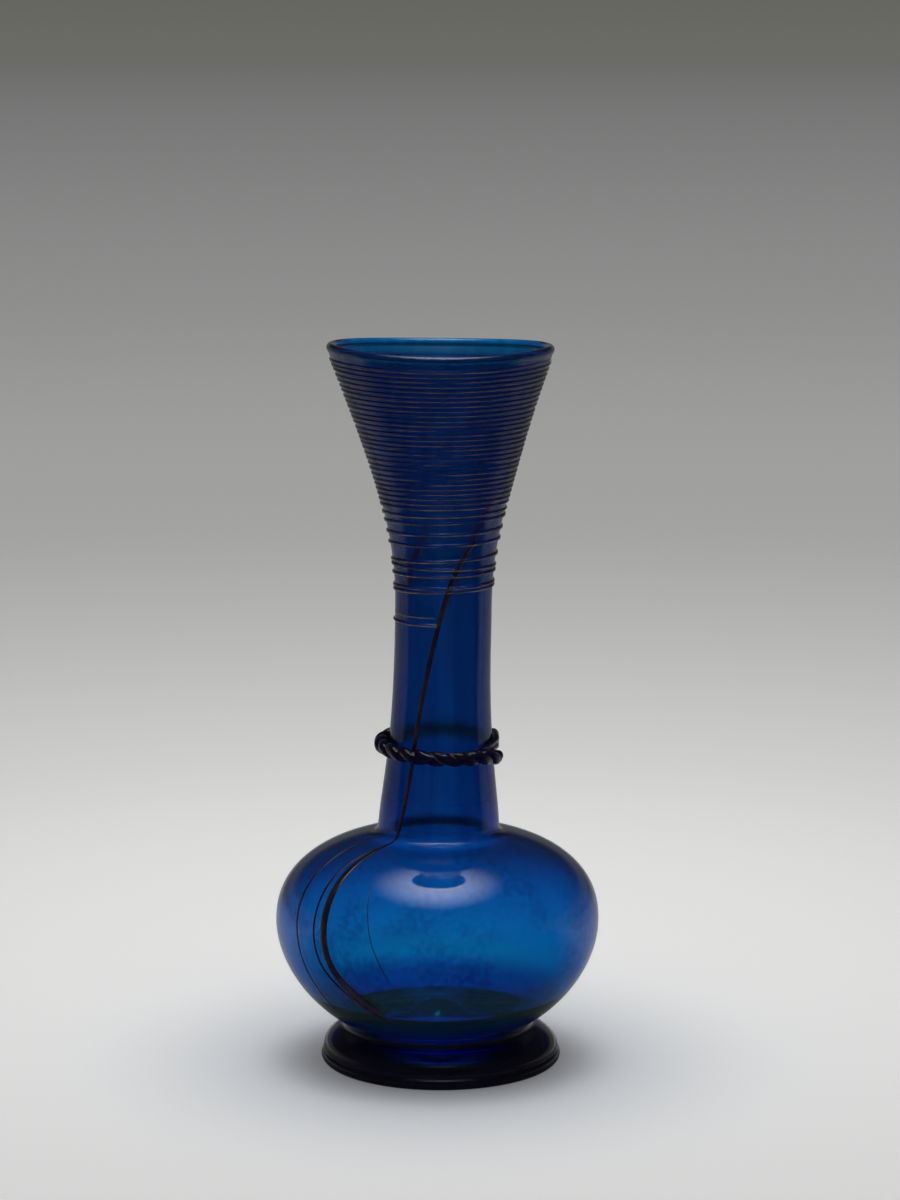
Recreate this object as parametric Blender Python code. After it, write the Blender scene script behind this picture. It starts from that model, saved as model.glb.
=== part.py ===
# Blown glass bottle: a round body on an applied foot and a tall neck that opens into a funnel
# mouth, with a twisted cane of glass laid round the neck and a fine thread wound round the funnel.
# Metres, +Z up. The origin lies on the table, under the middle of the body.

from math import acos, cos, pi, radians, sin

import bmesh
import bpy
from mathutils import Vector

SIDES = 24                     # flats round the bottle, shared by its pieces so that they nest
CLEARANCE = 0.0003             # kept between pieces that are fused on the real bottle

# The vessel's stretches, each its own height, from the table up
WAIST_HEIGHT = 0.0144          # the table to where the foot's lip meets the body
LOWER_BODY_HEIGHT = 0.0353     # waist to the body's widest point
UPPER_BODY_HEIGHT = 0.0310     # widest point to the neck's root
NECK_HEIGHT = 0.0693           # root to the neck's narrowest point
FUNNEL_HEIGHT = 0.1000         # narrowest point to the top of the rim

# The vessel's outside radii
KICK_RADIUS = 0.0180           # lowest ring of the base, round its pushed-up middle
WAIST_RADIUS = 0.0326
BODY_RADIUS = 0.0560
NECK_ROOT_RADIUS = 0.0211
NECK_RADIUS = 0.0166
LIP_RADIUS = 0.0380            # just under the rounded rim

LOWER_FULLNESS = 1.89          # 2 is an ellipse, more is squarer
UPPER_FULLNESS = 2.36
LIP_PULL = 0.61                # how far the ends of a curve hold its direction, as shares of
FUNNEL_ROOT_PULL = 0.24        # the height of the funnel or the neck
NECK_TOP_PULL = 0.55
NECK_ROOT_PULL = 0.29
BASE_EDGE_PULL = 0.45          # the same inside the foot, as shares of the base's width
BASE_EDGE_FALL = 0.75          # and of its drop
BASE_RING_PULL = 0.35
BASE_DROP = 0.0065             # how far the body hangs down inside the foot
KICK_RISE = 0.0100             # how far the base is pushed up in its middle
ROOT_FILLET = 0.0015           # between the neck and the shoulder
NECK_ROOT_FLARE = 0.08         # slope of the neck's side at its root
FUNNEL_FLARE = 0.37            # slope of the funnel's side at the rim
RIM_THICKNESS = 0.0032
RIM_OVERHANG = 0.0007          # the rim stands proud of the funnel's side
RIM_ANGLES = (185, 115, 65, -5)
BASE_WALL = 0.0045
KICK_WALL = 0.0028             # in the middle of the base
BASE_WALL_RISE = 0.0120        # over the waist, to where the wall is thin
BODY_WALL = 0.0018
NECK_WALL = 0.0028

# How the hand-made bottle leans
NECK_LEAN = 0.0023             # the upper neck stands this far to the right of the body
MOUTH_RETURN = 0.0012          # and the mouth comes back this far
FOOT_SHIFT = 0.0011            # the foot was put on this far to the right
MOUTH_DIP = 0.0008             # the rim's right side is lower than its left
MOUTH_SADDLE = 0.0014          # and its front and back are lower than its sides

# The applied foot
FOOT_RADIUS = 0.0417
FOOT_EDGE = 0.0042             # height of the rounded edge
FOOT_LIP = 0.0022              # height of the upright lip against the body
FOOT_TOP_PULL = 0.44           # how full the domed top is, as a share of its width
FOOT_TOP_FALL = 0.16           # and how steeply it leaves the lip, as a share of its height
FOOT_SIDE_PULL = 0.50
FOOT_TAPER = 0.0007            # the dome meets the edge this far inside its widest ring
FOOT_EDGE_ANGLES = (-10, -90)
STANDING_WIDTH = 0.0086        # of the flat ring that touches the table

# The twisted cane round the neck
CANE_THICKNESS = 0.0052
CANE_RISE = 0.0304             # of its middle above the neck's root, at the front
CANE_SLOPE = 0.0048            # rise over one turn round the neck
CANE_SAG = 0.0016              # how far the blunt end hangs below the slope
CANE_SAG_TURN = 60.0           # degrees over which it does
CANE_GROOVE = 0.18             # depth of the groove between the strands, as a share of the radius
STRAND_PITCH = 0.0126          # length over which a strand turns once
CANE_START = -14.0             # degrees from +X, the blunt end
CANE_TURN = 393.0              # degrees round the neck, so that the ends overlap
CANE_TAPER = 58.0              # degrees over which the upper end thins out
CANE_TIP = 0.38                # thickness left at the tip
CANE_END = 0.75                # thickness of the rounded-off ends
STRAND_CORNER = 25             # degrees from a strand's middle to its two corners
STEPS_PER_TWIST = 7

# The wound thread
THREAD_WIDTH = 0.0010
THREAD_PROUD = 0.0005
THREAD_PITCH = 0.00174         # where the turns lie close
THREAD_END_GAP = 0.0040        # the last turn stops this far below the rim's top
THREAD_TIP = 0.4               # thickness at its ends
THREAD_START_STEPS = 2         # flats over which it comes to its full thickness
THREAD_END_STEPS = 4
LOOSE_TURNS = (0.0164, 0.0178, 0.0222, 0.0253, 0.0267, 0.0326, 0.0364, 0.0402, 0.0430, 0.0458)
#                              heights of the open turns above the neck's narrowest point, at -X
STRAY_START = 0.0050           # the short length left below the others, at the back
STRAY_END = 0.0060             # and where it breaks off at the front
STRAY_START_STEPS = 3

SHARP_ANGLE = 40               # degrees between faces that are shaded as an edge

WIDEST_Z = WAIST_HEIGHT + LOWER_BODY_HEIGHT
ROOT_Z = WIDEST_Z + UPPER_BODY_HEIGHT
NARROW_Z = ROOT_Z + NECK_HEIGHT
TOP_Z = NARROW_Z + FUNNEL_HEIGHT
RIM_Z = TOP_Z - RIM_THICKNESS / 2


def smooth(value, low, high):
    share = min(max((value - low) / (high - low), 0.0), 1.0)
    return share * share * (3 - 2 * share)


def settle(point):
    """Moves a point of the upright bottle to where the leaning one has it."""
    x, y, z = point
    middle_z = (NARROW_Z + TOP_Z) / 2
    lean = NECK_LEAN * smooth(z, WIDEST_Z, NARROW_Z + FUNNEL_HEIGHT / 3)
    lean -= MOUTH_RETURN * smooth(z, middle_z, TOP_Z)
    lean += FOOT_SHIFT * (1 - smooth(z, FOOT_EDGE, WAIST_HEIGHT))
    dip = MOUTH_DIP * x / (2 * LIP_RADIUS) + MOUTH_SADDLE * (y / LIP_RADIUS) ** 2
    return Vector((x + lean, y, z - dip * smooth(z, middle_z, TOP_Z)))


def curve(start, start_pull, end_pull, end, steps):
    """Points of a cubic curve, without its first one."""
    points = []
    for step in range(1, steps + 1):
        t = step / steps
        s = 1 - t
        weights = (s * s * s, 3 * s * s * t, 3 * s * t * t, t * t * t)
        ends = (start, start_pull, end_pull, end)
        points.append(tuple(sum(w * p[i] for w, p in zip(weights, ends)) for i in (0, 1)))
    return points


def bulge(end_radius, end_height, fullness, steps):
    """The body's side from its widest ring out to a ring of end_radius that lies end_height away.

    Each point is a radius and a distance from the widest ring.
    """
    end_angle = acos((end_radius / BODY_RADIUS) ** (fullness / 2))
    depth = end_height / sin(end_angle) ** (2 / fullness)
    points = []
    for step in range(steps + 1):
        angle = end_angle * step / steps
        radius = BODY_RADIUS * cos(angle) ** (2 / fullness)
        points.append((radius, depth * sin(angle) ** (2 / fullness)))
    return points


def funnel_outline():
    """The funnel's side, from just under the rim down to the neck's narrowest point."""
    lip_z = RIM_Z - RIM_THICKNESS / 2
    pull = LIP_PULL * FUNNEL_HEIGHT
    lip = (LIP_RADIUS, lip_z)
    lip_pull = (LIP_RADIUS - FUNNEL_FLARE * pull, lip_z - pull)
    neck_pull = (NECK_RADIUS, NARROW_Z + FUNNEL_ROOT_PULL * FUNNEL_HEIGHT)
    return [lip] + curve(lip, lip_pull, neck_pull, (NECK_RADIUS, NARROW_Z), 6)


def neck_outline():
    """The neck's side, from below its narrowest point down to its root."""
    narrow = (NECK_RADIUS, NARROW_Z)
    narrow_pull = (NECK_RADIUS, NARROW_Z - NECK_TOP_PULL * NECK_HEIGHT)
    root = (NECK_ROOT_RADIUS, ROOT_Z + ROOT_FILLET)
    pull = NECK_ROOT_PULL * NECK_HEIGHT
    root_pull = (NECK_ROOT_RADIUS - NECK_ROOT_FLARE * pull, root[1] + pull)
    return curve(narrow, narrow_pull, root_pull, root, 4)


def shoulder_outline():
    """The upper body, from beside the neck's root down to the widest ring."""
    ring = bulge(NECK_ROOT_RADIUS + ROOT_FILLET, UPPER_BODY_HEIGHT, UPPER_FULLNESS, 6)
    return [(radius, WIDEST_Z + height) for radius, height in reversed(ring)]


def lower_outline():
    """The lower body, from below the widest ring down to the waist."""
    ring = bulge(WAIST_RADIUS, LOWER_BODY_HEIGHT, LOWER_FULLNESS, 6)
    return [(radius, WIDEST_Z - height) for radius, height in ring[1:]]


def base_outline():
    """The part inside the foot, from below the waist to the base ring."""
    ring = (KICK_RADIUS, WAIST_HEIGHT - BASE_DROP)
    inward = WAIST_RADIUS - KICK_RADIUS
    waist_pull = (WAIST_RADIUS - BASE_EDGE_PULL * inward, WAIST_HEIGHT - BASE_EDGE_FALL * BASE_DROP)
    ring_pull = (KICK_RADIUS + BASE_RING_PULL * inward, ring[1])
    return curve((WAIST_RADIUS, WAIST_HEIGHT), waist_pull, ring_pull, ring, 4)


def kick_outline():
    """The pushed-up middle of the base, from the base ring in to the axis."""
    points = []
    for share in (0.5, 1.0):
        rise = KICK_RISE * (1 - cos(pi * share)) / 2
        points.append((KICK_RADIUS * (1 - share), WAIST_HEIGHT - BASE_DROP + rise))
    return points


def wall_at(radius, z):
    base = KICK_WALL + (BASE_WALL - KICK_WALL) * smooth(radius, 0, WAIST_RADIUS)
    body = base + (BODY_WALL - base) * smooth(z, WAIST_HEIGHT, WAIST_HEIGHT + BASE_WALL_RISE)
    return body + (NECK_WALL - BODY_WALL) * smooth(z, WIDEST_Z, ROOT_Z)


def inner_outline(outline):
    """The hollow's side: the outline moved in along its normals by the wall."""
    inner = []
    for before, point, after in zip(outline, outline[1:], outline[2:]):
        along = Vector((after[0] - before[0], after[1] - before[1])).normalized()
        wall = wall_at(*point)
        inner.append((point[0] + wall * along.y, point[1] - wall * along.x))
    return inner + [(0.0, outline[-1][1] + wall_at(*outline[-1]))]


def rim_outline():
    """The rounded rim, over the top from the hollow's side to the outside."""
    middle = LIP_RADIUS + RIM_OVERHANG - RIM_THICKNESS / 2
    half = RIM_THICKNESS / 2
    return [(middle + half * cos(angle), RIM_Z + half * sin(angle))
            for angle in (radians(degrees) for degrees in RIM_ANGLES)]


def turn(name, profile, closed):
    """Turns a profile in the XZ plane round the axis and lets it lean."""
    shape = bmesh.new()
    points = [shape.verts.new((radius, 0.0, z)) for radius, z in profile]
    pairs = list(zip(points, points[1:]))
    if closed:
        pairs.append((points[-1], points[0]))
    edges = [shape.edges.new(pair) for pair in pairs]
    bmesh.ops.spin(shape, geom=points + edges, cent=(0, 0, 0), axis=(0, 0, 1), angle=2 * pi,
                   steps=SIDES, use_merge=True)
    bmesh.ops.remove_doubles(shape, verts=shape.verts, dist=0.000001)
    for vertex in shape.verts:
        vertex.co = settle(vertex.co)
    return finish(name, shape)


def sweep(name, sections):
    """Joins a row of rings into one closed body."""
    shape = bmesh.new()
    rings = [[shape.verts.new(settle(point)) for point in section] for section in sections]
    for ring, following in zip(rings, rings[1:]):
        for i in range(len(ring)):
            j = (i + 1) % len(ring)
            shape.faces.new((ring[i], ring[j], following[j], following[i]))
    shape.faces.new(rings[0])
    shape.faces.new(rings[-1])
    return finish(name, shape)


def finish(name, shape):
    bmesh.ops.recalc_face_normals(shape, faces=shape.faces)
    mesh = bpy.data.meshes.new(name)
    shape.to_mesh(mesh)
    shape.free()
    mesh.shade_smooth()
    mesh.set_sharp_from_angle(angle=radians(SHARP_ANGLE))
    piece = bpy.data.objects.new(name, mesh)
    bpy.context.collection.objects.link(piece)
    return piece


def glass(name, colour, roughness):
    material = bpy.data.materials.new(name)
    material.use_nodes = True
    shader = material.node_tree.nodes["Principled BSDF"]
    shader.inputs["Base Color"].default_value = colour
    shader.inputs["Metallic"].default_value = 0.0
    shader.inputs["Roughness"].default_value = roughness
    shader.inputs["IOR"].default_value = 1.52
    shader.inputs["Transmission Weight"].default_value = 1.0
    return material


def make_vessel():
    outline = funnel_outline() + neck_outline() + shoulder_outline() + lower_outline()
    outline += base_outline() + kick_outline()
    hollow = inner_outline(outline)
    return turn("vessel", hollow[::-1] + rim_outline() + outline, closed=False)


def make_foot():
    """A ring whose inner side follows the body and whose domed top rises to an upright lip."""
    seat = [(WAIST_RADIUS, WAIST_HEIGHT)] + base_outline()[:-1]
    seat = [(radius + CLEARANCE, z - CLEARANCE) for radius, z in seat]
    lip_radius, lip_z = seat[0]
    corner = (lip_radius, lip_z - FOOT_LIP)
    edge_top = (FOOT_RADIUS - FOOT_TAPER, FOOT_EDGE)
    width = edge_top[0] - corner[0]
    height = corner[1] - edge_top[1]
    top_pull = (corner[0] + FOOT_TOP_PULL * width, corner[1] - FOOT_TOP_FALL * height)
    side_pull = (edge_top[0], edge_top[1] + FOOT_SIDE_PULL * height)
    dome = curve(corner, top_pull, side_pull, edge_top, 3)
    half = FOOT_EDGE / 2
    edge = [(FOOT_RADIUS - half + half * cos(angle), half + half * sin(angle))
            for angle in (radians(degrees) for degrees in FOOT_EDGE_ANGLES)]
    ring = [corner] + dome + edge + [(FOOT_RADIUS - half - STANDING_WIDTH, 0.0)]
    return turn("foot", ring + seat[::-1], closed=True)


def side_radius(z):
    """The vessel's outside radius at a height between the neck's root and the lip."""
    outline = funnel_outline() + neck_outline()
    for upper, lower in zip(outline, outline[1:]):
        if lower[1] <= z <= upper[1]:
            share = (z - lower[1]) / (upper[1] - lower[1])
            return lower[0] + share * (upper[0] - lower[0])
    return outline[0][0] if z > outline[0][1] else outline[-1][0]


def around(radius, angle, z):
    return (radius * cos(angle), radius * sin(angle), z)


def thread_section(step, z, share):
    """A three-sided ring of the thread; share thins it out at its ends."""
    angle = 2 * pi * step / SIDES
    half = THREAD_WIDTH / 2 * share
    low = around(side_radius(z - half) + CLEARANCE, angle, z - half)
    high = around(side_radius(z + half) + CLEARANCE, angle, z + half)
    crest = around(side_radius(z) + CLEARANCE + THREAD_PROUD * share, angle, z)
    return [low, crest, high]


def make_thread():
    """Open turns at their own heights, then close ones up to the rim, from the left side up."""
    heights = [NARROW_Z + rise for rise in LOOSE_TURNS]
    last_z = TOP_Z - THREAD_END_GAP
    close_turns = max(round((last_z - heights[-1]) / THREAD_PITCH), 1)
    pitch = (last_z - heights[-1]) / close_turns
    heights += [heights[-1] + pitch * turn_number for turn_number in range(1, close_turns + 1)]
    first = SIDES // 2
    steps = SIDES * (len(heights) - 1)
    sections = []
    for step in range(steps + 1):
        below, part = divmod(step, SIDES)
        above = min(below + 1, len(heights) - 1)
        z = heights[below] + (heights[above] - heights[below]) * part / SIDES
        share = THREAD_TIP + (1 - THREAD_TIP) * min(1.0, step / THREAD_START_STEPS,
                                                    (steps - step) / THREAD_END_STEPS)
        sections.append(thread_section(first + step, z, share))
    return sweep("wound_thread", sections)


def make_stray():
    """The half turn that is left below the others, from the back round the left to the front."""
    first = round(SIDES / 4)
    steps = SIDES // 2
    sections = []
    for step in range(steps + 1):
        z = NARROW_Z + STRAY_START + (STRAY_END - STRAY_START) * step / steps
        share = THREAD_TIP + (1 - THREAD_TIP) * min(1.0, step / STRAY_START_STEPS)
        sections.append(thread_section(first + step, z, share))
    return sweep("thread_end", sections)


def cane_section(angle, z, half, twist):
    """A ring round both strands, pressed flat where it would enter the neck."""
    middle = side_radius(z) + CLEARANCE + half * (1 - CANE_GROOVE)
    waist = 1 - CANE_GROOVE
    section = []
    corners = [(-STRAND_CORNER, 1.0), (STRAND_CORNER, 1.0), (90, waist)]
    corners += [(turned + 180, reach) for turned, reach in corners]
    for turned, reach in corners:
        corner = twist + radians(turned)
        height = z + half * reach * sin(corner)
        radius = max(middle + half * reach * cos(corner), side_radius(height) + CLEARANCE)
        section.append(around(radius, angle, height))
    return section


def make_cane():
    """Two fused strands laid clockwise round the neck, the thin end over the blunt one."""
    start = radians(CANE_START)
    front = radians(-90)
    turned = radians(CANE_TURN)
    front_z = ROOT_Z + CANE_RISE
    length = turned * (side_radius(front_z) + CLEARANCE + CANE_THICKNESS / 2)
    steps = round(length / STRAND_PITCH * STEPS_PER_TWIST)
    sections = []
    for step in range(steps + 1):
        share = step / steps
        angle = start - turned * share
        thick = CANE_TIP + (1 - CANE_TIP) * smooth(turned * (1 - share), 0, radians(CANE_TAPER))
        thick *= CANE_END + (1 - CANE_END) * min(1.0, step / 2)
        half = CANE_THICKNESS / 2 * thick
        z = front_z + CANE_SLOPE * (front - angle) / (2 * pi)
        z -= CANE_SAG * (1 - smooth(turned * share, 0, radians(CANE_SAG_TURN)))
        z += (half - CANE_THICKNESS / 2) * smooth(share, 0.5, 1.0)
        sections.append(cane_section(angle, z, half, 2 * pi * length * share / STRAND_PITCH))
    return sweep("twisted_collar", sections)


def main():
    for item in list(bpy.data.objects):
        bpy.data.objects.remove(item)
    cobalt = glass("cobalt_glass", (0.004, 0.055, 0.22, 1.0), 0.05)
    dark_cobalt = glass("dark_cobalt_glass", (0.003, 0.012, 0.06, 1.0), 0.08)
    pieces = [(make_vessel(), cobalt), (make_foot(), cobalt), (make_cane(), dark_cobalt),
              (make_thread(), dark_cobalt), (make_stray(), dark_cobalt)]
    bottle = bpy.data.objects.new("glass_bottle", None)
    bpy.context.collection.objects.link(bottle)
    for piece, material in pieces:
        piece.data.materials.append(material)
        piece.parent = bottle


main()
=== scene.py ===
import random
from bisect import bisect_left
from math import acos, atan2, cos, exp, hypot, pi, radians, sin, sqrt

import bpy
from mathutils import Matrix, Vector, noise


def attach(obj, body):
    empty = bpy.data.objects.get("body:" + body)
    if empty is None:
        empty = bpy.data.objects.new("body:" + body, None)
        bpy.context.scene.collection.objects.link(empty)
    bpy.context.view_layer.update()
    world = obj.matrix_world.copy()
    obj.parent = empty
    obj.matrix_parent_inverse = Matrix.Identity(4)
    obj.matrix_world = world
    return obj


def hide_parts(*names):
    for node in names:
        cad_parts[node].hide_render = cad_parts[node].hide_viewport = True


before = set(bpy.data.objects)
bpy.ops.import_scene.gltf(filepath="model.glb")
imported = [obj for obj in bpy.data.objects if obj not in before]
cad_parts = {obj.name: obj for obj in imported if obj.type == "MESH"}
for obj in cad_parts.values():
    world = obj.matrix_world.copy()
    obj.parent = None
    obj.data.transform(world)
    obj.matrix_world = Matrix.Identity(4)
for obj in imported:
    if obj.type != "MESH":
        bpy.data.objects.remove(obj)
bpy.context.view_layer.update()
mm = 0.001


# The camera and the pale floor

camera = {
    "place": (0.00435, -1.164, 0.3502),
    "pitch": 80.81,        # degrees from looking straight down
    "lens": 103.2,
    "sensor": 36.0,
}

studio = {
    "floorRadius": 60.0,
    "floorTone": (0.90, 0.895, 0.89, 1.0),
    "blueTone": (0.83, 0.875, 0.93, 1.0),      # the bottle's blue light on the floor round its foot
    "blueEdge": (0.05, 0.15),
    "farTone": (0.60, 0.605, 0.58, 1.0),
    "horizonTone": (0.39, 0.395, 0.355, 1.0),
    "nearEdge": 0.35,      # metres from the bottle to where the floor starts to darken
    "farEdge": 1.6,
    "horizonEdge": (6.0, 30.0),
    "middleY": 0.17,       # the floor is lit a little behind the bottle
    # Painted shade: where the glass reflects the floor from the front, the floor is darkened, as if a black
    # cloth lay there
    "darkEdge": (-0.04, 0.09),
    "darkShare": (0.985, 0.50),
    "footGlow": 0.13,
    "footGlowEdge": (0.06, 0.10),
    "backdropTone": (0.148, 0.151, 0.135, 1.0),    # at the horizon, darker higher up
    "backdropHighTone": (0.112, 0.114, 0.098, 1.0),
    "backdropEdge": (-0.01, 0.035),
    "roomTone": (0.025, 0.025, 0.027, 1.0),    # the dark studio, as the glass reflects it
    "bandTone": (0.14, 0.14, 0.137, 1.0),      # the sweep's upper part, round the sides and behind
    "bandEdge": (-0.30, 0.15),
    "bandTop": (0.12, 0.26),
    "lampHeight": 1.7,
    "lampSize": (2.0, 2.45),
    "lampFade": 0.48,          # from its middle to where it is dark, as a share of its size
    "lampPower": 58.0,
    "sweepTone": (1.0, 1.0, 0.99, 1.0),
    "floorGlow": 0.31,
    "shade": (0.035, 0.13, 0.50, 1.0),         # the bottle keeps some of the sweep's light off the floor
    "seatGlow": 0.26,          # the blue light that comes down through the foot
    "seatTone": (0.16, 0.42, 1.0, 1.0),
    "seatEdge": (0.008, 0.003),                # inside the foot's radius, so that none shows round it
    "sweepGlow": ((0.13, 0.28), (0.24, 0.21), (0.325, 0.175), (0.40, 0.185), (0.50, 0.255), (0.62, 0.24),
                  (0.81, 0.185)),
    "horizonGlow": 0.150,
}


def addNode(tree, kind, place, **settings):
    node = tree.nodes.new(kind)
    node.location = place
    for name, value in settings.items():
        setattr(node, name, value)
    return node


def plug(tree, socket, value):
    if isinstance(value, bpy.types.NodeSocket):
        tree.links.new(value, socket)
    else:
        socket.default_value = value


def workOut(tree, place, operation, *values):
    node = addNode(tree, "ShaderNodeMath", place, operation=operation)
    for socket, value in zip(node.inputs, values):
        plug(tree, socket, value)
    return node.outputs["Value"]


def fade(tree, place, value, low, high, start=0.0, end=1.0):
    node = addNode(tree, "ShaderNodeMapRange", place, interpolation_type="SMOOTHSTEP")
    plug(tree, node.inputs["Value"], value)
    node.inputs["From Min"].default_value = low
    node.inputs["From Max"].default_value = high
    node.inputs["To Min"].default_value = start
    node.inputs["To Max"].default_value = end
    return node.outputs["Result"]


def blend(tree, place, share, first, second):
    node = addNode(tree, "ShaderNodeMix", place, data_type="RGBA")
    plug(tree, node.inputs["Factor"], share)
    plug(tree, node.inputs[6], first)
    plug(tree, node.inputs[7], second)
    return node.outputs[2]


def addNoise(tree, place, vector, scale, detail=2.0, roughness=0.5):
    node = addNode(tree, "ShaderNodeTexNoise", place)
    for label, value in (("Vector", vector), ("Scale", scale), ("Detail", detail), ("Roughness", roughness)):
        plug(tree, node.inputs[label], value)
    return node.outputs["Fac"]


def distanceFrom(tree, place, vector, middle=(0.0, 0.0, 0.0)):
    node = addNode(tree, "ShaderNodeVectorMath", place, operation="DISTANCE")
    node.inputs[1].default_value = middle
    tree.links.new(vector, node.inputs[0])
    return node.outputs["Value"]


def clearAll():
    if bpy.context.object and bpy.context.object.mode != "OBJECT":
        bpy.ops.object.mode_set(mode="OBJECT")
    bpy.ops.object.select_all(action="DESELECT")


def makeCamera():
    clearAll()
    bpy.ops.object.camera_add(location=camera["place"], rotation=(radians(camera["pitch"]), 0, 0))
    shot = bpy.context.object
    shot.name = "camera"
    shot.data.lens = camera["lens"]
    shot.data.sensor_width = camera["sensor"]
    shot.data.clip_end = 200
    bpy.context.scene.camera = shot


def paintFloor(floor):
    paint = bpy.data.materials.new("paleFloor")
    paint.use_nodes = True
    tree = paint.node_tree
    shader = tree.nodes["Principled BSDF"]
    shader.inputs["Roughness"].default_value = 0.9
    shader.inputs["Specular IOR Level"].default_value = 0.1
    place = addNode(tree, "ShaderNodeTexCoord", (-1500, 0))
    reach = distanceFrom(tree, (-1300, 0), place.outputs["Object"], (0.0, studio["middleY"], 0.0))
    tone = blend(tree, (-700, 100), fade(tree, (-900, 100), reach, studio["nearEdge"], studio["farEdge"]),
                 studio["floorTone"], studio["farTone"])
    tone = blend(tree, (-500, 100), fade(tree, (-700, 300), reach, *studio["horizonEdge"]),
                 tone, studio["horizonTone"])
    ring = distanceFrom(tree, (-1300, -600), place.outputs["Object"])
    tone = blend(tree, (-300, 200), fade(tree, (-500, 400), ring, *studio["blueEdge"]),
                 studio["blueTone"], tone)
    # painted shade in reflections: glossy rays see the floor darker in front, a little less round the foot
    ray = addNode(tree, "ShaderNodeLightPath", (-1300, -400))
    mirrored = workOut(tree, (-1100, -400), "SUBTRACT", ray.outputs["Is Glossy Ray"],
                       ray.outputs["Is Transmission Ray"])
    parts = addNode(tree, "ShaderNodeSeparateXYZ", (-1300, -200))
    tree.links.new(place.outputs["Object"], parts.inputs["Vector"])
    near = fade(tree, (-1100, -200), parts.outputs["Y"], *studio["darkEdge"], *studio["darkShare"])
    outward = fade(tree, (-1100, -600), ring, *studio["footGlowEdge"],
                   1 - studio["footGlow"], 1.0)
    near = workOut(tree, (-900, -200), "MULTIPLY", near, outward)
    mirrored = workOut(tree, (-900, -400), "MAXIMUM", mirrored, 0.0)
    dark = workOut(tree, (-700, -300), "MULTIPLY", mirrored, near)
    left = workOut(tree, (-500, -300), "SUBTRACT", 1.0, dark)
    dimmed = addNode(tree, "ShaderNodeVectorMath", (-300, 0), operation="SCALE")
    tree.links.new(tone, dimmed.inputs[0])
    tree.links.new(left, dimmed.inputs["Scale"])
    tree.links.new(dimmed.outputs["Vector"], shader.inputs["Base Color"])
    glow = addNode(tree, "ShaderNodeFloatCurve", (-500, -550))     # what the sweep's own lamps add
    powers = workOut(tree, (-900, -550), "LOGARITHM", reach, 10.0)
    powers = workOut(tree, (-800, -600), "ADD", powers, 1.0)
    share = workOut(tree, (-700, -550), "DIVIDE", powers, 2.5)     # 0 at 0.1 m, 1 at about 32 m
    tree.links.new(share, glow.inputs["Value"])
    line = glow.mapping.curves[0]
    line.points[0].location = (0.0, studio["floorGlow"])
    line.points[1].location = (1.0, studio["horizonGlow"])
    for where, value in studio["sweepGlow"]:
        line.points.new(where, value)
    glow.mapping.update()
    strength = workOut(tree, (-200, -550), "MULTIPLY", glow.outputs["Value"], left)
    shade = fade(tree, (-300, -700), ring, *studio["shade"])
    strength = workOut(tree, (-150, -600), "MULTIPLY", strength, shade)
    seatFrom, seatTo = (bottle["footRadius"] - inset for inset in studio["seatEdge"])
    seat = fade(tree, (-400, -800), ring, seatFrom, seatTo, 1.0, 0.0)
    seatLight = workOut(tree, (-200, -800), "MULTIPLY", seat, studio["seatGlow"])
    strength = workOut(tree, (-100, -650), "ADD", strength, seatLight)
    tree.links.new(strength, shader.inputs["Emission Strength"])
    colour = blend(tree, (-200, -1000), seat, studio["sweepTone"], studio["seatTone"])
    tree.links.new(colour, shader.inputs["Emission Color"])
    floor.data.materials.append(paint)


def makeStudio():
    clearAll()
    bpy.ops.mesh.primitive_circle_add(vertices=96, radius=studio["floorRadius"], fill_type="NGON")
    floor = bpy.context.object
    floor.name = "floor"
    paintFloor(floor)

    bpy.ops.object.light_add(type="AREA", location=(0, 0, studio["lampHeight"]))
    lamp = bpy.context.object
    lamp.name = "overheadLamp"
    lamp.data.shape = "ELLIPSE"
    lamp.data.size, lamp.data.size_y = studio["lampSize"]
    lamp.data.energy = studio["lampPower"]
    lamp.data.use_nodes = True                 # the lamp is brightest in its middle and fades to its edge
    tree = lamp.data.node_tree
    glow = tree.nodes["Emission"]
    where = addNode(tree, "ShaderNodeNewGeometry", (-900, 0))
    outward = distanceFrom(tree, (-700, 0), where.outputs["Parametric"], (0.5, 0.5, 0.0))
    strength = fade(tree, (-500, 0), outward, 0.0, studio["lampFade"], 1.0, 0.0)
    tree.links.new(strength, glow.inputs["Strength"])

    world = bpy.data.worlds.new("studioAir")
    bpy.context.scene.world = world
    world.use_nodes = True
    tree = world.node_tree
    where = addNode(tree, "ShaderNodeTexCoord", (-1300, 0))
    parts = addNode(tree, "ShaderNodeSeparateXYZ", (-1100, 0))
    tree.links.new(where.outputs["Generated"], parts.inputs["Vector"])
    behind = fade(tree, (-700, 0), parts.outputs["Y"], *studio["bandEdge"])
    under = fade(tree, (-500, -200), parts.outputs["Z"], *studio["bandTop"], 1.0, 0.0)
    band = workOut(tree, (-300, 0), "MULTIPLY", behind, under)
    tone = blend(tree, (-100, 100), band, studio["roomTone"], studio["bandTone"])
    ray = addNode(tree, "ShaderNodeLightPath", (100, 300))
    high = fade(tree, (-100, -300), parts.outputs["Z"], *studio["backdropEdge"])
    seen = blend(tree, (100, -200), high, studio["backdropTone"], studio["backdropHighTone"])
    tone = blend(tree, (300, 0), ray.outputs["Is Camera Ray"], tone, seen)
    tree.links.new(tone, tree.nodes["Background"].inputs["Color"])
    bpy.context.scene.view_settings.view_transform = "Standard"


# The bottle: vessel, foot and thread are one fused piece of glass

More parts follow.
